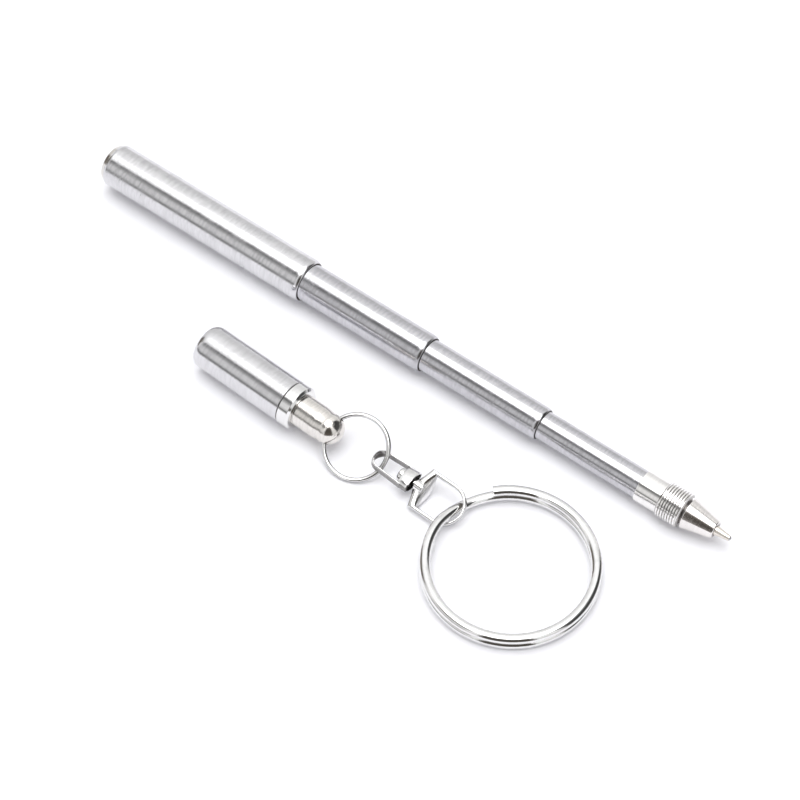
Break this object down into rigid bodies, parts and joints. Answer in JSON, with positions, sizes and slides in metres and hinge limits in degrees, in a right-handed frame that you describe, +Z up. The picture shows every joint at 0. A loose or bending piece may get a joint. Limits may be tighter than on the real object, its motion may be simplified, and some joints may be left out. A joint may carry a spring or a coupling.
{
  "type": "telescopic pen",
  "caption": "Slim metal pen of nested sliding tubes, drawn out, with its screw cap off and joined by a link, swivel and split key ring.",
  "frame": {"origin": "middle of the footprint of the pen and the cap with its chain, on the table they lie on", "axes": "+X along the pen towards its point, +Y from the cap towards the pen, +Z up from the table"},
  "size_m": [0.1152, 0.0382, 0.0075],
  "materials": {
    "tube_steel": "fine satin",
    "plug_steel": "polished",
    "sleeve_bronze": "spring bronze",
    "collar_chrome": "polished",
    "cone_chrome": "polished",
    "point_metal": "bright nickel silver",
    "refill_plastic": "translucent",
    "ball_carbide": "polished",
    "cap_steel": "satin",
    "nut_brass": "machined",
    "band_chrome": "polished",
    "finial_nickel": "satin nickel",
    "link_chrome": "bright",
    "swivel_chrome": "bright",
    "ring_chrome": "bright"
  },
  "bodies": {
    "barrel": {"barrel_tube": "tube_steel", "rear_plug": "plug_steel"},
    "second": {"second_tube": "tube_steel", "second_tube_sleeve": "sleeve_bronze"},
    "third": {"third_tube": "tube_steel", "third_tube_sleeve": "sleeve_bronze"},
    "front": {"front_tube": "tube_steel", "front_tube_sleeve": "sleeve_bronze", "thread_collar": "collar_chrome", "nose_cone": "cone_chrome", "refill_tip": "point_metal", "refill_tube": "refill_plastic"},
    "ball": {"writing_ball": "ball_carbide"},
    "ring": {"key_ring": "ring_chrome"},
    "bow": {"swivel_bow": "swivel_chrome", "swivel_rivet": "swivel_chrome"},
    "shackle": {"swivel_shackle": "swivel_chrome"},
    "link": {"link_ring": "link_chrome"},
    "cap": {"cap_tube": "cap_steel", "cap_nut": "nut_brass", "cap_band": "band_chrome", "cap_finial": "finial_nickel"}
  },
  "joints": [
    {"name": "second_tube_slide", "type": "slide", "parent": "barrel", "child": "second", "axis": [0.9999, 0, -0.011], "range_m": [-0.0221, 0]},
    {"name": "third_tube_slide", "type": "slide", "parent": "second", "child": "third", "axis": [0.9999, 0, -0.011], "range_m": [-0.0204, 0]},
    {"name": "front_tube_slide", "type": "slide", "parent": "third", "child": "front", "axis": [0.9999, 0, -0.011], "range_m": [-0.0169, 0]},
    {"name": "writing_ball_roll", "type": "hinge", "parent": "front", "child": "ball", "pos_m": [0.05729, 0.01561, 0.00272], "axis": [0, 1, 0], "continuous": true},
    {"name": "key_ring_lift", "type": "slide", "parent": "barrel", "child": "ring", "axis": [0, 0, 1], "range_m": [0, 0.05]},
    {"name": "bow_swing", "type": "hinge", "parent": "ring", "child": "bow", "pos_m": [0.02259, -0.00399, 0.00166], "axis": [0.1602, 0.9354, -0.3152], "range_deg": [-45, 110]},
    {"name": "swivel_spin", "type": "hinge", "parent": "bow", "child": "shackle", "pos_m": [0.01681, -0.00344, 0.00209], "axis": [0.9989, -0.0262, -0.038], "continuous": true},
    {"name": "link_swing", "type": "hinge", "parent": "shackle", "child": "link", "pos_m": [0.01017, -0.00326, 0.00234], "axis": [-0.0458, 0.867, 0.4962], "range_deg": [-35, 35]},
    {"name": "cap_swing", "type": "hinge", "parent": "link", "child": "cap", "pos_m": [0.00099, -0.00399, 0.00355], "axis": [0.0404, 0.8737, 0.4848], "range_deg": [-45, 60]}
  ]
}
